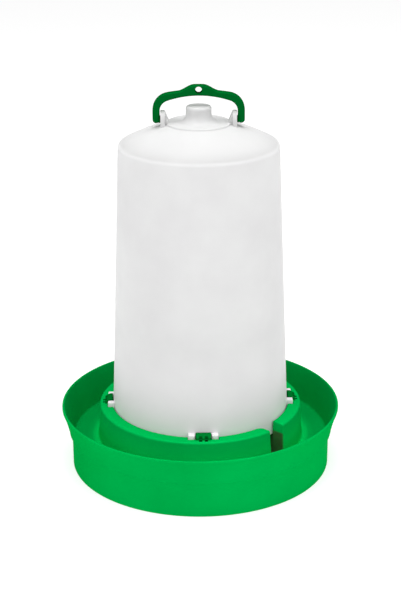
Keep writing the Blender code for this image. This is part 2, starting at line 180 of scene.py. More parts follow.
EAR_HOLE = 3.0 * MM
HOLE_EDGE = 0.1 * MM            # rounding of the cutter's ends, out in the open
LUG_INNER_SIDE = 9.25 * MM
LUG_OUTER_SIDE = 16.25 * MM
LUG_ROOT = 98.0 * MM
LUG_REACH = 105.3 * MM
LUG_BOTTOM = 69.4 * MM
LUG_TOP = 76.2 * MM
LUG_EDGE = 0.8 * MM

# Handle: heights are above its pivot line, and turns are in degrees.
HANDLE_DEPTH = handle_high.y - handle_low.y
HANDLE_EDGE = 1.8 * MM
LEG_OUTER = handle_high.x
LEG_INNER = 41.8 * MM
OUTER_CORNER = 19.0 * MM
OUTER_CORNER_HEIGHT = 10.0 * MM
OUTER_CORNER_TURN = 80
OUTER_CROWN = 31.5 * MM
INNER_CORNER = 12.0 * MM
INNER_CORNER_HEIGHT = 9.0 * MM
INNER_CORNER_TURN = 71
INNER_CROWN = 25.9 * MM
HUMP_HEIGHT = 5.8 * MM
HUMP_CREST = 4.5 * MM
HUMP_SIDE = 22.5 * MM
HANG_HOLE = 3.7 * MM
HANG_HOLE_HEIGHT = 32.1 * MM
HANG_HOLE_EDGE = 0.6 * MM
PIN_RADIUS = 2.7 * MM
PIN_TIP = 36.2 * MM
PIN_EDGE = 0.5 * MM
BOSS_RADIUS = 4.0 * MM
BOSS_FACE = 41.2 * MM
BOSS_EDGE = 0.3 * MM

# Camera: it stands in front of the fount and looks down at it.
CAMERA_DISTANCE = 1.578
CAMERA_HEIGHT = 0.7886
CAMERA_PITCH = math.radians(69.32)
CAMERA_ROLL = math.radians(-0.30)
CAMERA_LENS = 90.17
CAMERA_SENSOR = 36.0
CAMERA_SHIFT = 0.0014

# Studio.
FLOOR_REACH = 30.0
FLOOR_TONE = 0.50
FLOOR_ROUGHNESS = 0.9
FLOOR_GLOW = 0.62
SKY_STRENGTH = 0.58
LAMPS = {                       # place, diameter and power
    "overhead": ((0.0, -0.3, 2.4), 2.4, 50.0),
    "left": ((-2.0, -1.7, 1.3), 1.4, 10.5),
    "right": ((2.0, -1.7, 1.3), 1.4, 10.5),
}


# ---------------------------------------------------------------- outlines

def rounded(corners, step=FILLET_STEP):
    """An open path through corners (a, b, rounding), each corner turned into an arc."""
    path = [np.array(corners[0][:2])]
    for before, corner, after in zip(corners, corners[1:], corners[2:]):
        here = np.array(corner[:2])
        if corner[2] == 0:
            path.append(here)
            continue
        back = np.array(before[:2]) - here
        ahead = np.array(after[:2]) - here
        back = back / np.linalg.norm(back)
        ahead = ahead / np.linalg.norm(ahead)
        half = math.acos(np.clip(back @ ahead, -1, 1)) / 2
        middle = (back + ahead) / np.linalg.norm(back + ahead)
        centre = here + middle * corner[2] / math.sin(half)
        reach = corner[2] / math.tan(half)
        first = here + back * reach - centre
        last = here + ahead * reach - centre
        start = math.atan2(first[1], first[0])
        turn = (math.atan2(last[1], last[0]) - start + math.pi) % math.tau - math.pi
        count = max(2, math.ceil(abs(turn) / step))
        for index in range(count + 1):
            angle = start + turn * index / count
            path.append(centre + corner[2] * np.array((math.cos(angle), math.sin(angle))))
    path.append(np.array(corners[-1][:2]))
    return path


def spaced(path, gap):
    """Split every stretch of a path that is longer than gap."""
    out = [path[0]]
    for start, end in zip(path, path[1:]):
        count = max(1, math.ceil(np.linalg.norm(end - start) / gap))
        out += [start + (end - start) * index / count for index in range(1, count + 1)]
    return out


def arc(centre, radius, start, end, step=6):
    """Points of an arc, ends included; angles in degrees."""
    count = max(2, math.ceil(abs(end - start) / step))
    angles = np.radians(np.linspace(start, end, count + 1))
    return [(centre[0] + radius * math.cos(angle), centre[1] + radius * math.sin(angle)) for angle in angles]


def edge_drop(inside, rounding):
    """How far a rounded edge has dropped; inside runs from -rounding, where it starts, to 0."""
    near = np.clip(inside + rounding, 0, rounding)
    return rounding - np.sqrt(rounding ** 2 - near ** 2)


def corner_rise(inside, rounding):
    """How far the surface still stands off at the start of a rounded corner; inside runs from 0."""
    near = np.clip(rounding - inside, 0, rounding)
    return rounding - np.sqrt(rounding ** 2 - near ** 2)


# ---------------------------------------------------------------- meshes

def columns_round(features):
    """Columns of a turned grid: (middle angle, lateral) for each, in order round the axis.

    features is a list of (middle angle, laterals, radius at which they are spaced)."""
    features = sorted(features, key=lambda feature: feature[0])
    middles, laterals = [], []
    for index, (middle, offsets, radius) in enumerate(features):
        middles += [middle] * len(offsets)
        laterals += sorted(offsets)
        following = features[(index + 1) % len(features)]
        start = middle + math.asin(max(offsets) / radius)
        end = following[0] + math.asin(min(following[1]) / following[2])
        if index + 1 == len(features):
            end += math.tau
        count = max(2, round((end - start) / COLUMN_STEP))
        for step in range(1, count):
            middles.append(start + (end - start) * step / count)
            laterals.append(0.0)
    return np.array(middles), np.array(laterals)


def steps_from(place, *steps):
    """Places at steps from a place; the steps are in millimetres."""
    return [place + step * MM for step in steps]


def wall_at(place, *steps):
    """The two places of a steep wall, and others at steps from it, in millimetres."""
    return [place - PAIR, place + PAIR] + steps_from(place, *steps)


def mirrored_offsets(offsets):
    """Offsets on both sides of the middle, the middle included once."""
    return sorted({-value for value in offsets} | set(offsets))


def add_object(name, data):
    """Put a mesh, curve, light or camera into the scene."""
    item = bpy.data.objects.new(name, data)
    bpy.context.scene.collection.objects.link(item)
    return item


def grid_mesh(name, angles, radii, heights):
    """A closed turned mesh from a grid of points; its first and last rows lie on the axis."""
    columns, rows = radii.shape
    x = radii * np.sin(angles)
    y = -radii * np.cos(angles)
    points = np.stack([x, y, heights], axis=-1)[:, 1:-1].reshape(-1, 3)
    top = len(points)
    points = np.vstack([points, [0.0, 0.0, heights[0, 0]], [0.0, 0.0, heights[0, -1]]])
    inner = rows - 2
    faces = []
    for column in range(columns):
        here = column * inner
        following = ((column + 1) % columns) * inner
        faces.append((top, here, following))
        faces.append((here + inner - 1, top + 1, following + inner - 1))
        for row in range(inner - 1):
            faces.append((here + row, here + row + 1, following + row + 1, following + row))
    mesh = bpy.data.meshes.new(name)
    mesh.from_pydata(points.tolist(), [], faces)
    return add_object(name, mesh)


def evaluated_mesh(item):
    """The mesh that an object makes with its modifiers or from its curve."""
    graph = bpy.context.evaluated_depsgraph_get()
    graph.update()
    return bpy.data.meshes.new_from_object(item.evaluated_get(graph))


def plate(name, outline, thickness, edge):
    """A flat plate in the XY plane from a closed outline, its edges rounded."""
    curve = bpy.data.curves.new(name, "CURVE")
    curve.dimensions = "2D"
    curve.fill_mode = "BOTH"
    curve.extrude = thickness / 2 - edge
    curve.bevel_depth = edge
    curve.bevel_resolution = 3
    curve.offset = -edge
    spline = curve.splines.new("POLY")
    spline.points.add(len(outline) - 1)
    for point, place in zip(spline.points, outline):
        point.co = (place[0], place[1], 0.0, 1.0)
    spline.use_cyclic_u = True
    source = add_object(name + "_outline", curve)
    shape = bmesh.new()
    shape.from_mesh(evaluated_mesh(source))
    bpy.data.objects.remove(source, do_unlink=True)
    bmesh.ops.remove_doubles(shape, verts=shape.verts[:], dist=SEAM)
    return tool_from(name, shape)


def tool_from(name, shape):
    """Make a closed helper object from a bmesh."""
    bmesh.ops.recalc_face_normals(shape, faces=shape.faces[:])
    mesh = bpy.data.meshes.new(name)
    shape.to_mesh(mesh)
    shape.free()
    return add_object(name, mesh)


def turned_tool(name, path, put):
    """A closed turned helper from a path (out, along); put(across, up, along) places each point."""
    turns = [math.tau * index / ROD_SIDES for index in range(ROD_SIDES)]
    shape = bmesh.new()
    rings = [[shape.verts.new(put(out * math.cos(turn), out * math.sin(turn), along)) for turn in turns]
             for out, along in path]
    for near, far in zip(rings, rings[1:]):
        for index in range(ROD_SIDES):
            following = (index + 1) % ROD_SIDES
            shape.faces.new((near[index], near[following], far[following], far[index]))
    shape.faces.new(rings[0])
    shape.faces.new(rings[-1])
    return tool_from(name, shape)


def radial_boxes(name, boxes):
    """A helper of boxes that run outwards: (width, inner, outer, bottom, top, turn, lateral)."""
    shape = bmesh.new()
    for width, inner, outer, bottom, top, turn, lateral in boxes:
        centre = (lateral, -(inner + outer) / 2, (bottom + top) / 2)
        size = (width, outer - inner, top - bottom, 1.0)
        place = Matrix.Rotation(turn, 4, "Z") @ Matrix.Translation(centre) @ Matrix.Diagonal(size)
        bmesh.ops.create_cube(shape, size=1.0, matrix=place)
    return tool_from(name, shape)


def combine(item, tool, operation):
    """Join or cut with a helper at once, and remove the helper."""
    change = item.modifiers.new(tool.name, "BOOLEAN")
    change.operation = operation
    change.solver = "EXACT"
    change.object = tool
    mesh = evaluated_mesh(item)
    item.modifiers.clear()
    item.data = mesh
    bpy.data.objects.remove(tool, do_unlink=True)


def clean(item):
    """Merge the near-double points and drop the empty faces that the cuts leave."""
    shape = bmesh.new()
    shape.from_mesh(item.data)
    bmesh.ops.remove_doubles(shape, verts=shape.verts[:], dist=MERGE)
    bmesh.ops.dissolve_degenerate(shape, edges=shape.edges[:], dist=MERGE)
    shape.to_mesh(item.data)
    shape.free()


def finish_piece(item, body, node, material):
    """Clean and shade a moulding and hand it to the frame."""
    clean(item)
    item.data.shade_smooth()
    item.data.set_sharp_from_angle(angle=SHARP_ANGLE)
    item.data.materials.clear()
    item.data.materials.append(material)
    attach(item, body)
    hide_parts(node)


# ---------------------------------------------------------------- base

def ledge_rows():
    """Distances from the axis of the rows across the flat of the ledge."""
    ridge = steps_from(CATCH_RIDGE, -1.2, -0.4, 0.3, 1.1, 1.6)
    pocket = wall_at(POCKET_OUTER, -0.5, -0.35, -0.2, -0.08, 0.06, 0.17, 0.3, 0.5)
    brow = wall_at(CATCH_OUTER, -1.6, -0.8, -0.5, -0.3, -0.15, -0.05, 0.4, 1.4, 2.4)
    return sorted(ridge + pocket + brow)


def ring_rib(radius, top):
    """Section of a ring rib: down its outer side and up its inner one."""
    inner = radius - RIB_WIDTH
    return [(radius, top, INNER_ROUND), (radius, RIB_BOTTOM, FINE_ROUND),
            (inner, RIB_BOTTOM, FINE_ROUND), (inner, top, INNER_ROUND)]


def base_rows():
    """Section of the base: over the top from the axis to the foot, then back underneath."""
    flare = (RIM_RADIUS - WALL / 4 - SKIRT_RADIUS) / (RIM_HEIGHT - RIM_BEAD - FLARE_FOOT)
    floor_edge = SKIRT_RADIUS - WALL + flare * (TROUGH_FLOOR - FLARE_FOOT)
    rim_inner = RIM_RADIUS - WALL
    top = [(0.0, TROUGH_FLOOR, 0), (WELL_RADIUS, TROUGH_FLOOR, FLOOR_FILLET)]
    top += [(WELL_RADIUS + DRAFT, SHELF_HEIGHT, INNER_ROUND)]
    top += [(COLLAR_BORE - DRAFT, SHELF_HEIGHT, FINE_ROUND)]
    top += [(COLLAR_BORE, POCKET_FLOOR - MM, 0), (COLLAR_BORE + DRAFT / 3, COLLAR_HEIGHT, BORE_ROUND)]
    top += [(row, COLLAR_HEIGHT, 0) for row in ledge_rows()]
    top += [(COLLAR_RADIUS, COLLAR_HEIGHT, COLLAR_ROUND)]
    top += [(COLLAR_FOOT_RADIUS, TROUGH_FLOOR, FLOOR_FILLET), (floor_edge, TROUGH_FLOOR, FLOOR_FILLET)]
    top += [(rim_inner, RIM_HEIGHT, RIM_ROUND), (RIM_RADIUS, RIM_HEIGHT, RIM_ROUND)]
    top += [(RIM_RADIUS, RIM_HEIGHT - RIM_BEAD, SOFT_ROUND)]
    top += [(RIM_RADIUS - WALL / 4, RIM_HEIGHT - RIM_BEAD - WALL / 8, BEAD_ROUND)]
    middle = (RIM_HEIGHT + FLARE_RING) / 2
    top += [(SKIRT_RADIUS + flare * (middle - FLARE_FOOT) - FLARE_HOLLOW, middle, HOLLOW_TURN)]
    ring = SKIRT_RADIUS + flare * (FLARE_RING - FLARE_FOOT)
    top += [(ring + flare * MM, FLARE_RING + MM, SOFT_ROUND)]
    top += [(ring + RING_RISE, FLARE_RING + 0.3 * MM, FINE_ROUND)]
    top += [(ring + RING_RISE, FLARE_RING - 0.4 * MM, FINE_ROUND)]
    top += [(ring - flare * MM, FLARE_RING - MM, SOFT_ROUND)]
    top += [(SKIRT_RADIUS, FLARE_FOOT, FLARE_TURN), (SKIRT_RADIUS, 0.0, FOOT_ROUND)]
    under = [(SKIRT_RADIUS - FOOT_WALL, 0.0, INNER_ROUND)]
    floor_under = TROUGH_FLOOR - WALL
    hollow_top = COLLAR_HEIGHT - WALL
    under += [(SKIRT_RADIUS - WALL, floor_under, FLOOR_FILLET)]
    under += ring_rib(COLLAR_FOOT_RADIUS - WALL + RIB_WIDTH, floor_under)[:3]
    under += [(COLLAR_RADIUS - WALL, hollow_top, UNDER_ROUND)]
    under += [(COLLAR_BORE + WALL + DRAFT, hollow_top, UNDER_ROUND)]
    under += [(COLLAR_BORE + WALL, SHELF_HEIGHT - WALL, INNER_ROUND)]
    under += [(WELL_RADIUS + WALL + DRAFT, SHELF_HEIGHT - WALL, INNER_ROUND)]
    under += ring_rib(WELL_RADIUS + WALL, floor_under)[1:]
    under += [(0.0, floor_under, 0)]
    rows = np.array(spaced(rounded(top + under), BASE_GAP))
    foot = int(np.argmin(rows[:, 1] + (rows[:, 0] < SKIRT_RADIUS - FOOT_WALL / 2)))
    return rows, foot


def row_normals(rows):
    """Unit normals of a section that runs outwards over the top."""
    along = np.gradient(rows, axis=0)
    normals = np.stack([-along[:, 1], along[:, 0]], axis=1)
    return normals / np.linalg.norm(normals, axis=1, keepdims=True)


def pocket_offsets():
    """Laterals of the columns at a catch and its pocket."""
    half = steps_from(0.0, 0.0, 1.4, 3.0, 4.6, 6.2)
    half += wall_at(CATCH_SIDE, -0.9, -0.5, -0.3, -0.15, -0.05, 0.3, 1.1, 2.5, 3.9, 5.3, 6.7)
    half += wall_at(POCKET_SIDE, -1.0, -0.5, -0.3, -0.15, -0.05, 0.06, 0.16, 0.32, 0.5, 1.4)
    half += wall_at(POCKET_SIDE + POCKET_WALL, 1.4, 3.0) + [ROUND_SIDE]
    return mirrored_offsets(half)


def slot_offsets():
    """Laterals of the columns at the slot and its rounded corner."""
    middle = steps_from(0.0, -8.0, -5.4, -2.7, 0.0, 2.7, 5.4, 8.0)
    right = wall_at(SLOT_SIDE, -0.8, -0.5, -0.25, -0.08, 0.08, 0.25, 0.5, 0.8, 1.7)
    right += wall_at(SLOT_SIDE + SLOT_WALL, 1.5, 3.5)
    left = wall_at(SLOT_SIDE, -0.8, -0.5, -0.25, -0.08)
    left += [SLOT_SIDE + SLOT_CORNER * (1 - math.sin(math.radians(turn))) for turn in range(0, 90, 9)]
    left += wall_at(SLOT_SIDE + SLOT_CORNER + SLOT_WALL, -1.3, 1.8, 4.0)
    return sorted(middle + right + [-lateral for lateral in left])


def pocket_shape(lateral, rows, top, radius, height):
    """Sink the pocket into a column of the ledge and raise the catch in it."""
    beside = abs(lateral)
    zone = top & (rows[:, 1] > POCKET_FLOOR) & (rows[:, 0] < COLLAR_RADIUS - COLLAR_ROUND + PAIR)
    spread = np.sqrt(lateral ** 2 + rows[:, 0] ** 2) - rows[:, 0]
    share = np.interp(rows[:, 0], STRAIGHT_ROWS, [0, 1, 1, 0])
    fade = np.interp(beside, [STRAIGHT_SIDE, ROUND_SIDE], [1, 0])
    radius = np.where(zone, radius + spread * share * fade, radius)
    forward = np.sqrt(np.maximum(radius ** 2 - lateral ** 2, 0))
    inside = np.minimum(POCKET_SIDE - beside, POCKET_OUTER - forward)
    sunk = np.minimum(height, POCKET_FLOOR + corner_rise(inside, POCKET_EDGE))
    level = np.where(inside > 0, sunk, height - edge_drop(inside, POCKET_EDGE))
    on_catch = np.minimum(CATCH_SIDE - beside, CATCH_OUTER - forward)
    catch_top = np.interp(forward, [CATCH_RIDGE, CATCH_OUTER], [CATCH_TOP, CATCH_BROW])
    rim = np.minimum(on_catch, radius - CATCH_INNER)
    level = np.where(on_catch > 0, catch_top - corner_rise(rim, CATCH_EDGE), level)
    return radius, np.where(zone, level, height)


def slot_shape(lateral, rows, top, normals, radius, height):
    """Round the ledge's corner beside the slot, or sink the slot's floor, in one column."""
    bore = COLLAR_BORE + DRAFT / 3
    flat_end = COLLAR_RADIUS - COLLAR_ROUND
    far = SLOT_SIDE + SLOT_CORNER
    start = math.sqrt(bore ** 2 - far ** 2)
    reach = np.clip(lateral + far, 0, SLOT_CORNER)
    bow = SLOT_CORNER - math.sqrt(SLOT_CORNER ** 2 - reach ** 2)
    edge = max(0.0, math.sqrt(lateral ** 2 + (start + bow) ** 2) - bore) if lateral > -far else 0.0
    edge *= float(np.interp(lateral, [-SLOT_SIDE, 0.0], [1, 0]))
    lip = bore + BORE_ROUND
    moved = np.interp(rows[:, 0], [0, lip, flat_end], [edge, edge, 0])
    wall = top & (rows[:, 0] > COLLAR_BORE - 2 * DRAFT - PAIR) & (rows[:, 0] < flat_end)
    wall &= rows[:, 1] >= SHELF_HEIGHT
    radius = np.where(wall, radius + moved, radius)
    collar = top & (rows[:, 0] < COLLAR_FOOT_RADIUS + MM) & (rows[:, 1] > SLOT_FLOOR)
    inside = SLOT_SIDE - abs(lateral)
    if inside > 0:
        floor = SLOT_FLOOR + corner_rise(inside, SLOT_EDGE)
        return radius, np.where(collar, np.minimum(height, floor), height)
    drop = np.where(collar & (rows[:, 1] > SHELF_HEIGHT + MM), edge_drop(inside, SLOT_EDGE), 0)
    return radius - normals[:, 0] * drop, height - normals[:, 1] * drop


def make_base(material):
    """The trough base."""
    rows, foot = base_rows()
    normals = row_normals(rows)
    top = np.arange(len(rows)) <= foot
    features = [(turn, pocket_offsets(), CATCH_INNER) for turn in CATCH_TURNS]
    features.append((SLOT_ANGLE, slot_offsets(), WELL_RADIUS))
    middles, laterals = columns_round(features)
    radii, heights, angles = [], [], []
    for middle, lateral in zip(middles, laterals):
        radius, height = rows[:, 0].copy(), rows[:, 1].copy()
        hollow = COLLAR_HEIGHT
        inner, outer = COLLAR_BORE, COLLAR_RADIUS
        if middle in CATCH_TURNS:
            radius, height = pocket_shape(lateral, rows, top, radius, height)
            if abs(lateral) < POCKET_SIDE + POCKET_WALL:
                hollow = POCKET_FLOOR - POCKET_WALL
        elif middle == SLOT_ANGLE:
            radius, height = slot_shape(lateral, rows, top, normals, radius, height)
            inner, outer = WELL_RADIUS, COLLAR_FOOT_RADIUS
            if -SLOT_SIDE - SLOT_CORNER - SLOT_WALL < lateral < SLOT_SIDE + SLOT_WALL:
                hollow = TROUGH_FLOOR - WALL
        height = np.where(top, height, np.minimum(height, hollow))
        radii.append(radius)
        heights.append(height)
        angles.append(middle + np.arcsin(lateral / np.clip(radius, inner, outer)))
    base = grid_mesh("base_moulding", np.array(angles), np.array(radii), np.array(heights))
    notches = [(2 * NOTCH_SIDE, NOTCH_INNER, NOTCH_OUTER, NOTCH_FLOOR, 2 * CATCH_TOP - NOTCH_FLOOR, turn,
                side * NOTCH_MIDDLE) for turn in CATCH_TURNS for side in (-1, 1)]
    combine(base, radial_boxes("catch_notches", notches), "DIFFERENCE")
    finish_piece(base, "base", "base", material)


# ---------------------------------------------------------------- tank

def tank_side(inset):
    """Contour of the tank from its top on the axis to the foot, moved inwards by inset."""
    knob = KNOB_RADIUS - inset
    disc = DISC_HEIGHT - inset
    disc_edge = DISC_RADIUS - inset / 2
    dome_start = np.array((disc_edge + DISC_ROUND / 2, disc - DISC_STEP))
    rounding = SHOULDER_ROUND - inset
    centre = np.array((SHOULDER_RADIUS - inset - rounding, SHOULDER_HEIGHT - rounding))
    path = rounded([(0.0, KNOB_HEIGHT - inset, 0), (knob, KNOB_HEIGHT - inset, KNOB_ROUND - inset / 2),
                    (knob, disc, KNOB_FILLET - inset / 2), (disc_edge, disc, DISC_ROUND),
                    (dome_start[0], dome_start[1], 0)])
    dome_end = centre + rounding * np.array((math.cos(DOME_SLOPE), math.sin(DOME_SLOPE)))
    along = dome_end - dome_start
    outward = np.array((-along[1], along[0])) / np.linalg.norm(along)
    for share in np.linspace(0, 1, DOME_STEPS + 1)[1:-1]:
        path.append(dome_start + along * share + outward * 4 * DOME_BULGE * share * (1 - share))
    for angle in np.linspace(DOME_SLOPE, 0, SHOULDER_STEPS + 1):
        path.append(centre + rounding * np.array((math.cos(angle), math.sin(angle))))
    return path


def lug_rows():
    """Heights of the rows that shape the lugs."""
    bottom = wall_at(LUG_BOTTOM, -0.5, 0.1, 0.25, 0.5, 0.8, 1.6)
    top = wall_at(LUG_TOP, 0.5, -0.1, -0.25, -0.5, -0.8, -1.6)
    return sorted(bottom + top, reverse=True)


def lug_offsets():
    """Laterals of the columns at a pair of lugs."""
    half = steps_from(0.0, 0.0, 2.0, 4.2, 6.4, 8.0)
    half += wall_at(LUG_INNER_SIDE, 0.1, 0.25, 0.5, 0.8, 1.8)
    half += wall_at(LUG_OUTER_SIDE, -0.1, -0.25, -0.5, -0.8, -1.8, 1.75, 3.75)
    return mirrored_offsets(half)


def tank_rows():
    """Section of the tank: down the outside to the foot, then up the inside."""
    outside = tank_side(0.0)
    shoulder = outside[-1]
    foot = np.array((TANK_FOOT_RADIUS, TANK_FOOT))
    taper = (foot[0] - shoulder[0]) / (shoulder[1] - foot[1])
    stops = [np.array((shoulder[0] + taper * (shoulder[1] - row), row)) for row in lug_rows()]
    edge = rounded([tuple(stops[-1]) + (0,), tuple(foot) + (TANK_FOOT_ROUND,),
                    (foot[0] - TANK_WALL, TANK_FOOT, TANK_FOOT_ROUND),
                    tuple(tank_side(TANK_WALL)[-1]) + (0,)])
    outside = spaced(outside, TOP_GAP) + spaced([shoulder] + stops, SHELL_GAP)[1:]
    inside = spaced([edge[-2]] + tank_side(TANK_WALL)[::-1], SHELL_GAP)[1:]
    rows = outside + spaced(edge[1:-1], TOP_GAP) + inside
    return np.array(rows), len(outside)


def make_ears():
    """Two ears with a gusset each, as helpers to join to the tank."""
    upright = Matrix.Rotation(math.pi / 2, 4, "X")
    sideways = Matrix.Rotation(math.pi / 2, 4, "Z")
    outline = arc((0.0, PIVOT_HEIGHT), EAR_SIDE, 0, 180) + [(-EAR_SIDE, EAR_ROOT), (EAR_SIDE, EAR_ROOT)]
    middle = (EAR_OUTER + EAR_INNER) / 2
    tools = []
    for side in (-1, 1):
        ear = plate("ear", outline, EAR_OUTER - EAR_INNER, EAR_EDGE)
        ear.data.transform(Matrix.Translation((side * middle, 0.0, 0.0)) @ sideways @ upright)
        web_outline = [(EAR_TOE, EAR_ROOT), (middle, EAR_ROOT), (middle, GUSSET_TOP),
                       (EAR_INNER, GUSSET_TOP), (EAR_TOE, DISC_HEIGHT)]
        web = plate("gusset", [(side * x, z) for x, z in web_outline], 2 * GUSSET_SIDE, EAR_EDGE / 2)
        web.data.transform(upright)
        tools += [ear, web]
    return tools


def rod(name, radius, start, end, edge):
    """A round rod along X at the pivot's height, its ends rounded."""
    corners = [(0.0, start, 0), (radius, start, edge), (radius, end, edge), (0.0, end, 0)]
    path = rounded(corners, ROD_FILLET_STEP)[1:-1]
    return turned_tool(name, path, lambda across, up, along: (along, across, PIVOT_HEIGHT + up))


def make_tank(material):
    """The bell tank."""
    rows, outer_count = tank_rows()
    outside = np.arange(len(rows)) < outer_count
    features = [(turn, lug_offsets(), LUG_ROOT) for turn in CATCH_TURNS]
    middles, laterals = columns_round(features)
    radii, angles = [], []
    for middle, lateral in zip(middles, laterals):
        radius = rows[:, 0].copy()
        if middle in CATCH_TURNS:
            across = np.minimum(abs(lateral) - LUG_INNER_SIDE, LUG_OUTER_SIDE - abs(lateral))
            up = np.minimum(rows[:, 1] - LUG_BOTTOM, LUG_TOP - rows[:, 1])
            inside = np.minimum(across, up)
            forward = LUG_REACH - corner_rise(inside, LUG_EDGE)
            lug = np.sqrt(forward ** 2 + lateral ** 2)
            radius = np.where(outside & (inside > 0), lug, radius)
        radii.append(radius)
        angles.append(middle + np.arcsin(lateral / np.clip(radius, LUG_ROOT, 2 * LUG_REACH)))
    heights = np.tile(rows[:, 1], (len(middles), 1))
    tank = grid_mesh("tank_moulding", np.array(angles), np.array(radii), heights)
    for tool in make_ears():
        combine(tank, tool, "UNION")
    for side in (-1, 1):
        near, far = side * (EAR_TOE - TANK_WALL), side * (EAR_OUTER + TANK_WALL)
        combine(tank, rod("pin_hole", EAR_HOLE, near, far, HOLE_EDGE), "DIFFERENCE")
    finish_piece(tank, "tank", "tank", material)


# ---------------------------------------------------------------- handle

def crown(half_width, end_height, middle_height, count):
    """Points of a flat arc from a corner of the handle to its middle, the middle included."""
    points = []
    for share in np.linspace(1, 0, count + 1)[1:]:
        points.append((half_width * share, middle_height - (middle_height - end_height) * share ** 2))
    return points


def mirrored(half):
    """Close a half outline that runs from the +X side to the middle."""
    return half + [(-x, z) for x, z in reversed(half) if x > 0.01 * MM]


def handle_outline():
    """The bail seen from the front, from its pivot line."""
    outer_centre = (LEG_OUTER - OUTER_CORNER, OUTER_CORNER_HEIGHT)
    outer = arc(outer_centre, OUTER_CORNER, 0, OUTER_CORNER_TURN, step=8)
    for x, z in crown(*outer[-1], OUTER_CROWN, count=24):
        share = min(1.0, max(0.0, x - HUMP_CREST) / (HUMP_SIDE - HUMP_CREST))
        hump = 0.5 + 0.5 * math.cos(math.pi * share)
        outer.append((x, z + HUMP_HEIGHT * hump))
    inner_centre = (LEG_INNER - INNER_CORNER, INNER_CORNER_HEIGHT)
    inner = arc(inner_centre, INNER_CORNER, 0, INNER_CORNER_TURN, step=8)
    inner += crown(*inner[-1], INNER_CROWN, count=12)
    foot = arc(((LEG_OUTER + LEG_INNER) / 2, 0.0), (LEG_OUTER - LEG_INNER) / 2, 180, 360, step=12)
    left_foot = [(-x, z) for x, z in foot]
    return foot + mirrored(outer) + list(reversed(left_foot)) + list(reversed(mirrored(inner)))


def hole_tool(half, past):
    """A cutter for the hanging hole that leaves its two mouths rounded."""
    mouth = HANG_HOLE + HANG_HOLE_EDGE
    flare = [(mouth - HANG_HOLE_EDGE * math.sin(turn), half - HANG_HOLE_EDGE * (1 - math.cos(turn)))
             for turn in np.linspace(0, math.pi / 2, 6)]
    path = [(mouth, past)] + flare + [(out, -deep) for out, deep in reversed(flare)] + [(mouth, -past)]
    middle = PIVOT_HEIGHT + HANG_HOLE_HEIGHT
    return turned_tool("hanging_hole", path, lambda across, up, along: (across, along, middle + up))


def make_handle(material):
    """The carry handle: a bail with a hanging hole and two inward pins."""
    handle = plate("handle_moulding", handle_outline(), HANDLE_DEPTH, HANDLE_EDGE)
    handle.data.transform(Matrix.Translation((0, 0, PIVOT_HEIGHT)) @ Matrix.Rotation(math.pi / 2, 4, "X"))
    for side in (-1, 1):
        root = side * (LEG_INNER + LEG_OUTER) / 2
        combine(handle, rod("boss", BOSS_RADIUS, side * BOSS_FACE, root, BOSS_EDGE), "UNION")
        combine(handle, rod("pin", PIN_RADIUS, side * PIN_TIP, root, PIN_EDGE), "UNION")
    half = HANDLE_DEPTH / 2
    combine(handle, hole_tool(half, half + MM), "DIFFERENCE")
    finish_piece(handle, "handle", "handle", material)


# ---------------------------------------------------------------- plastics

# Colours come in pairs, between which the clouds of a plastic vary.
SKIRT_GREEN = (0.0, 0.34, 0.056), (0.0, 0.41, 0.072)
# painted shade: everything inward of the flare's wall is painted darker green
FLARE_INSIDE_SHADE_GREEN = (0.0, 0.28, 0.050), (0.0, 0.34, 0.062)
# painted light: the collar and the trough floor round it are painted brighter green
COLLAR_LIT_GREEN = (0.0, 0.41, 0.074), (0.0, 0.47, 0.090)
# painted light: the foot of the collar's outer wall is painted brighter still, against the shade there
COLLAR_FOOT_LIT_GREEN = (0.0, 0.58, 0.110), (0.0, 0.66, 0.130)
# painted shade: the catches' tops are painted deeper green
CATCH_TOP_SHADE_GREEN = (0.0, 0.14, 0.018), (0.0, 0.18, 0.026)
# painted shade: near-black green in the gaps and notches round the catches
GAP_SHADE = (0.0, 0.04, 0.006), (0.01, 0.07, 0.012)
# painted shadow: dark brownish green on the slot's lower walls
SLOT_SHADOW = (0.04, 0.08, 0.025), (0.06, 0.12, 0.04)
HANDLE_GREEN = (0.0, 0.088, 0.012), (0.0, 0.120, 0.018)
SHEEN_GREEN = (0.0, 0.40, 0.07, 1.0)
TANK_WHITE = (0.665, 0.66, 0.665), (0.72, 0.72, 0.72)
# painted light: the tank's foot is painted lighter and pinker, against the shade and green bounce there
FOOT_LIT_WHITE = (0.785, 0.75, 0.78), (0.815, 0.78, 0.81)
# painted shade: the dome, and the disc and knob above it, are painted darker, against the overhead light
DOME_SHADE_WHITE = (0.62, 0.62, 0.62), (0.65, 0.65, 0.65)
DISC_SHADE_WHITE = (0.58, 0.58, 0.58), (0.61, 0.61, 0.61)

# The greens have a share of green-tinted gloss instead of a clear gloss, which would turn their sides pale.
SHEEN = 0.12
SMOOTHER, ROUGHER = 0.05, 0.09  # how far the scuffs change a green's roughness
BASE_ROUGHNESS = 0.36
HANDLE_ROUGHNESS = 0.30
WHITE_ROUGHNESS = (0.38, 0.52)
WHITE_SPECULAR = 0.08
WHITE_DEPTH = 0.35              # share of light that comes back from inside the wall
WHITE_DEPTH_SCALE = 6.0 * MM
EVEN = (1.0, 1.0, 1.0)

# Sizes of the patterns: the higher, the finer.
GREEN_CLOUDS, WHITE_CLOUDS = 9.0, 16.0
CLOUD_DETAIL, SCUFF_DETAIL, PATCH_DETAIL, SKIN_DETAIL = 4.5, 5.0, 4.0, 2.0
SCUFFS, SCUFF_STRETCH = 160.0, (1.0, 1.0, 0.15)
GREEN_SKIN, WHITE_SKIN = 700.0, 500.0
GREEN_FLOW, GREEN_FLOW_STRETCH = 22.0, (1.0, 1.0, 3.0)
WHITE_FLOW, WHITE_FLOW_STRETCH = 14.0, (1.0, 1.0, 0.5)
WHITE_GLOSS_PATCHES = 60.0
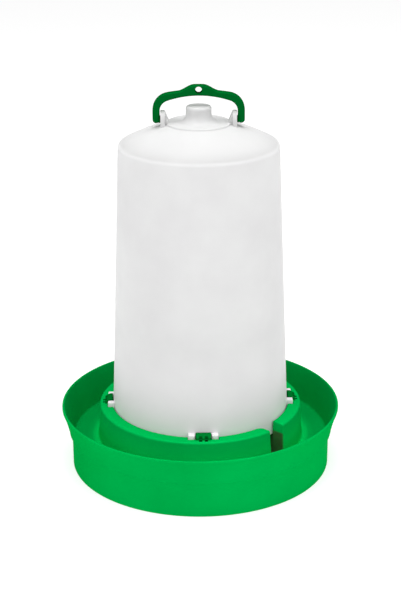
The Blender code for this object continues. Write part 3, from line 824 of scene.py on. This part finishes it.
# patches of the painted shadow in the slot
SHADOW_PATCHES, SHADOW_SHARES = 120.0, (0.75, 0.95)

# Heights of the bumps.
GREEN_SKIN_RISE, WHITE_SKIN_RISE = 0.03 * MM, 0.04 * MM
GREEN_FLOW_RISE, WHITE_FLOW_RISE = 0.5 * MM, 0.6 * MM

# Where the white turns from the foot's painted light, lighter and pinker against the shade and the green
# bounce from the base, to the wall's tone.
FOOT_LIGHT_START, FOOT_LIGHT_END = 70.0 * MM, 170.0 * MM


class Plastic:
    """A moulded plastic: a Principled shader and the nodes that vary it."""

    def __init__(self, name, cloud_scale):
        self.material = bpy.data.materials.new(name)
        self.material.use_nodes = True
        self.tree = self.material.node_tree
        self.shader = self.tree.nodes["Principled BSDF"]
        self.place = self.add("ShaderNodeTexCoord").outputs["Object"]
        self.clouds = self.spread(self.noise(cloud_scale, CLOUD_DETAIL), 0.0, 1.0)

    def add(self, kind, **settings):
        """A new node with its settings."""
        node = self.tree.nodes.new(kind)
        for key, value in settings.items():
            setattr(node, key, value)
        return node

    def link(self, start, end):
        """Lead one socket into another."""
        self.tree.links.new(start, end)

    def noise(self, scale, detail, stretch=EVEN):
        """Noise over the piece, from about 0 to 1."""
        mapping = self.add("ShaderNodeMapping")
        mapping.inputs["Scale"].default_value = stretch
        self.link(self.place, mapping.inputs["Vector"])
        node = self.add("ShaderNodeTexNoise")
        node.inputs["Scale"].default_value = scale
        node.inputs["Detail"].default_value = detail
        self.link(mapping.outputs["Vector"], node.inputs["Vector"])
        return node.outputs["Fac"]

    def spread(self, value, low, high, start=0.3, end=0.7):
        """Map a value from start..end to low..high, held at both ends."""
        node = self.add("ShaderNodeMapRange")
        for key, number in (("From Min", start), ("From Max", end), ("To Min", low), ("To Max", high)):
            node.inputs[key].default_value = number
        self.link(value, node.inputs["Value"])
        return node.outputs["Result"]

    def blend(self, share, first, second):
        """Mix two colours; each is a colour or a socket."""
        node = self.add("ShaderNodeMix", data_type="RGBA")
        self.link(share, node.inputs["Factor"])
        for key, value in (("A", first), ("B", second)):
            socket = [item for item in node.inputs if item.name == key and item.type == "RGBA"][0]
            if isinstance(value, tuple):
                socket.default_value = (*value, 1.0)
            else:
                self.link(value, socket)
        return [item for item in node.outputs if item.type == "RGBA"][0]

    def tone(self, pair):
        """A colour that follows the clouds from one colour of a pair to the other."""
        return self.blend(self.clouds, *pair)

    def turned(self, angle):
        """Place sideways, backwards and up after turning the piece, so that angle faces the front."""
        mapping = self.add("ShaderNodeMapping")
        mapping.inputs["Rotation"].default_value = (0.0, 0.0, -angle)
        self.link(self.place, mapping.inputs["Vector"])
        split = self.add("ShaderNodeSeparateXYZ")
        self.link(mapping.outputs["Vector"], split.inputs["Vector"])
        return split.outputs["X"], split.outputs["Y"], split.outputs["Z"]

    def all_of(self, *shares):
        """The product of several shares."""
        return functools.reduce(lambda product, share: self.math("MULTIPLY", product, share), shares)

    def bump(self, value, height, before=None):
        """Raise the surface by a value; height is in metres."""
        node = self.add("ShaderNodeBump")
        node.inputs["Distance"].default_value = height
        self.link(value, node.inputs["Height"])
        if before is not None:
            self.link(before, node.inputs["Normal"])
        return node.outputs["Normal"]

    def axis(self, which):
        """Place along one axis of the piece."""
        node = self.add("ShaderNodeSeparateXYZ")
        self.link(self.place, node.inputs["Vector"])
        return node.outputs[which]

    def math(self, operation, *values):
        """A calculation on one or two values."""
        node = self.add("ShaderNodeMath", operation=operation)
        for value, socket in zip(values, node.inputs):
            self.link(value, socket)
        return node.outputs["Value"]


def slot_shadow(plastic, colour):
    """Paint shadow on the walls of the outlet slot below the tank's foot: a dark brownish painted shadow, in
    patches.
    """
    sideways, back, up = plastic.turned(SLOT_ANGLE)
    beside = plastic.math("ABSOLUTE", sideways)
    within = plastic.spread(beside, 1.0, 0.0, SLOT_SIDE + 0.1 * MM, SLOT_SIDE + SLOT_EDGE)
    below = plastic.spread(up, 1.0, 0.0, SHADOW_TOP - 2 * MM, SHADOW_TOP)
    above = plastic.spread(up, 0.0, 1.0, TROUGH_FLOOR - 1.5 * MM, TROUGH_FLOOR - 0.5 * MM)
    mouth = plastic.spread(back, 0.0, 1.0, -COLLAR_FOOT_RADIUS - MM, -COLLAR_RADIUS + MM)
    end = plastic.spread(back, 1.0, 0.0, -WELL_RADIUS + 4 * MM, -WELL_RADIUS + 8 * MM)
    patches = plastic.spread(plastic.noise(SHADOW_PATCHES, PATCH_DETAIL), *SHADOW_SHARES)
    share = plastic.all_of(within, below, above, mouth, end, patches)
    return plastic.blend(share, colour, plastic.tone(SLOT_SHADOW))


def catch_painted_shade(plastic, colour, radius, height):
    """Painted shade at the catches: deeper green tops, and near-black painted shade in the gaps and notches
    round them.
    """
    sideways, back, _ = plastic.turned(CATCH_TURNS[0])
    nearest = plastic.math("MINIMUM", plastic.math("ABSOLUTE", sideways), plastic.math("ABSOLUTE", back))
    beside = plastic.spread(nearest, 1.0, 0.0, POCKET_SIDE, POCKET_SIDE + 0.3 * MM)
    near = plastic.spread(radius, 1.0, 0.0, NOTCH_OUTER, NOTCH_OUTER + 0.3 * MM)
    below = plastic.spread(height, 1.0, 0.0, COLLAR_HEIGHT - 0.8 * MM, COLLAR_HEIGHT - 0.3 * MM)
    above = plastic.spread(height, 0.0, 1.0, POCKET_FLOOR - 2 * MM, POCKET_FLOOR - MM)
    shaded_tops = plastic.spread(height, 0.0, 1.0, COLLAR_HEIGHT + 0.2 * MM, COLLAR_HEIGHT + MM)
    # painted shade: deeper green over the catches' tops
    colour = plastic.blend(shaded_tops, colour, plastic.tone(CATCH_TOP_SHADE_GREEN))
    # painted shade in the gaps and notches round the catches
    return plastic.blend(plastic.all_of(beside, near, below, above), colour, plastic.tone(GAP_SHADE))


def base_painted_light_and_shade(plastic, colour):
    """Tones of the base: painted shade makes the inside of the flare deeper green, painted light makes the
    collar and its foot brighter, then the painted shade of the slot and the catches.
    """
    flat = plastic.add("ShaderNodeVectorMath", operation="MULTIPLY")
    flat.inputs[1].default_value = (1.0, 1.0, 0.0)
    plastic.link(plastic.place, flat.inputs[0])
    length = plastic.add("ShaderNodeVectorMath", operation="LENGTH")
    plastic.link(flat.outputs["Vector"], length.inputs[0])
    radius, height = length.outputs["Value"], plastic.axis("Z")
    wall = plastic.spread(height, SKIRT_RADIUS - WALL / 2, RIM_RADIUS - WALL / 2, FLARE_FOOT, RIM_HEIGHT)
    depth = plastic.math("SUBTRACT", radius, wall)
    inside = plastic.spread(depth, 1.0, 0.0, -0.4 * MM, 0.4 * MM)
    # painted shade: darker green inward of the flare's wall
    colour = plastic.blend(inside, colour, plastic.tone(FLARE_INSIDE_SHADE_GREEN))
    ring = plastic.spread(radius, 1.0, 0.0, COLLAR_FOOT_RADIUS - MM, COLLAR_FOOT_RADIUS + 14 * MM)
    # painted light: brighter green on the collar and the floor round it
    colour = plastic.blend(plastic.all_of(inside, ring), colour, plastic.tone(COLLAR_LIT_GREEN))
    outer = plastic.spread(radius, 0.0, 1.0, COLLAR_RADIUS - 2 * MM, COLLAR_RADIUS)
    foot = plastic.spread(radius, 1.0, 0.0, COLLAR_FOOT_RADIUS + MM, COLLAR_FOOT_RADIUS + 8 * MM)
    low = plastic.spread(height, 1.0, 0.0, COLLAR_HEIGHT - 20 * MM, COLLAR_HEIGHT - 3 * MM)
    wall_foot = plastic.all_of(inside, outer, foot, low)
    # painted light: the collar wall's foot painted brighter, against the shade the rim casts there
    colour = plastic.blend(wall_foot, colour, plastic.tone(COLLAR_FOOT_LIT_GREEN))
    return slot_shadow(plastic, catch_painted_shade(plastic, colour, radius, height))


def green_plastic(name, pair, roughness, tones=None):
    """Moulded polypropylene: even colour with faint clouds, a fine skin and light scuffs."""
    plastic = Plastic(name, GREEN_CLOUDS)
    colour = plastic.tone(pair)
    # tones may paint light and shade into the colour, as on the base
    if tones is not None:
        colour = tones(plastic, colour)
    plastic.link(colour, plastic.shader.inputs["Base Color"])
    scuffs = plastic.noise(SCUFFS, SCUFF_DETAIL, SCUFF_STRETCH)
    worn = plastic.spread(scuffs, roughness - SMOOTHER, roughness + ROUGHER)
    plastic.link(worn, plastic.shader.inputs["Roughness"])
    skin = plastic.bump(plastic.noise(GREEN_SKIN, SKIN_DETAIL), GREEN_SKIN_RISE)
    waves = plastic.noise(GREEN_FLOW, SKIN_DETAIL, GREEN_FLOW_STRETCH)
    plastic.link(plastic.bump(waves, GREEN_FLOW_RISE, skin), plastic.shader.inputs["Normal"])
    plastic.shader.inputs["Specular IOR Level"].default_value = 0.0
    plastic.shader.inputs["Metallic"].default_value = SHEEN
    plastic.shader.inputs["Specular Tint"].default_value = SHEEN_GREEN
    return plastic.material


def white_plastic(name):
    """Natural polyethylene: milky, faintly cloudy, with soft gloss."""
    plastic = Plastic(name, WHITE_CLOUDS)
    height = plastic.axis("Z")
    # painted light: lighter, pinker white towards the foot
    foot = plastic.spread(height, 1.0, 0.0, FOOT_LIGHT_START, FOOT_LIGHT_END)
    colour = plastic.blend(foot, plastic.tone(TANK_WHITE), plastic.tone(FOOT_LIT_WHITE))
    # painted shade: darker white over the dome and darker still on the disc and knob
    disc = plastic.spread(height, 0.0, 1.0, SHOULDER_HEIGHT, DISC_HEIGHT)
    top = plastic.blend(disc, plastic.tone(DOME_SHADE_WHITE), plastic.tone(DISC_SHADE_WHITE))
    dome = plastic.spread(height, 0.0, 1.0, SHOULDER_HEIGHT - 5 * MM, SHOULDER_HEIGHT - MM)
    colour = plastic.blend(dome, colour, top)
    plastic.link(colour, plastic.shader.inputs["Base Color"])
    patches = plastic.spread(plastic.noise(WHITE_GLOSS_PATCHES, PATCH_DETAIL), *WHITE_ROUGHNESS)
    plastic.link(patches, plastic.shader.inputs["Roughness"])
    skin = plastic.bump(plastic.noise(WHITE_SKIN, SKIN_DETAIL), WHITE_SKIN_RISE)
    waves = plastic.noise(WHITE_FLOW, SKIN_DETAIL, WHITE_FLOW_STRETCH)
    plastic.link(plastic.bump(waves, WHITE_FLOW_RISE, skin), plastic.shader.inputs["Normal"])
    plastic.shader.inputs["Specular IOR Level"].default_value = WHITE_SPECULAR
    plastic.shader.inputs["Subsurface Weight"].default_value = WHITE_DEPTH
    plastic.shader.inputs["Subsurface Radius"].default_value = EVEN
    plastic.shader.inputs["Subsurface Scale"].default_value = WHITE_DEPTH_SCALE
    return plastic.material


# ---------------------------------------------------------------- stage

def make_floor():
    """A plain pale floor with a little light of its own, so that it fades into the background."""
    shape = bmesh.new()
    bmesh.ops.create_grid(shape, x_segments=1, y_segments=1, size=FLOOR_REACH)
    mesh = bpy.data.meshes.new("floor")
    shape.to_mesh(mesh)
    shape.free()
    paint = bpy.data.materials.new("floor_paint")
    paint.use_nodes = True
    shader = paint.node_tree.nodes["Principled BSDF"]
    shader.inputs["Base Color"].default_value = (FLOOR_TONE, FLOOR_TONE, FLOOR_TONE, 1.0)
    shader.inputs["Roughness"].default_value = FLOOR_ROUGHNESS
    shader.inputs["Specular IOR Level"].default_value = 0.0
    shader.inputs["Emission Color"].default_value = (1.0, 1.0, 1.0, 1.0)
    shader.inputs["Emission Strength"].default_value = FLOOR_GLOW
    mesh.materials.append(paint)
    add_object("floor", mesh)


def make_sky():
    """Even white light all round."""
    world = bpy.data.worlds.new("studio")
    bpy.context.scene.world = world
    world.use_nodes = True
    sky = world.node_tree.nodes["Background"]
    sky.inputs["Color"].default_value = (1.0, 1.0, 1.0, 1.0)
    sky.inputs["Strength"].default_value = SKY_STRENGTH


def make_lamp(name, place, size, power):
    """A soft round lamp that points at the middle of the fount."""
    light = bpy.data.lights.new(name, "AREA")
    light.shape = "DISK"
    light.size = size
    light.energy = power
    lamp = add_object(name, light)
    lamp.location = place
    aim = (cad_box[0] + cad_box[1]) / 2 - lamp.location
    lamp.rotation_euler = aim.to_track_quat("-Z", "Y").to_euler()


def make_camera():
    """The photograph's view."""
    data = bpy.data.cameras.new("camera")
    data.lens = CAMERA_LENS
    data.sensor_width = CAMERA_SENSOR
    data.shift_x = CAMERA_SHIFT
    camera = add_object("camera", data)
    aim = Matrix.Rotation(CAMERA_PITCH, 4, "X") @ Matrix.Rotation(CAMERA_ROLL, 4, "Z")
    camera.matrix_world = Matrix.Translation((0.0, -CAMERA_DISTANCE, CAMERA_HEIGHT)) @ aim
    bpy.context.scene.camera = camera
    bpy.context.scene.view_settings.view_transform = "Standard"


make_base(green_plastic("base_plastic", SKIRT_GREEN, BASE_ROUGHNESS, base_painted_light_and_shade))
make_tank(white_plastic("tank_plastic"))
make_handle(green_plastic("handle_plastic", HANDLE_GREEN, HANDLE_ROUGHNESS))
make_floor()
make_sky()
for lamp_name, (lamp_place, lamp_size, lamp_power) in LAMPS.items():
    make_lamp(lamp_name, lamp_place, lamp_size, lamp_power)
make_camera()

bpy.context.view_layer.update()
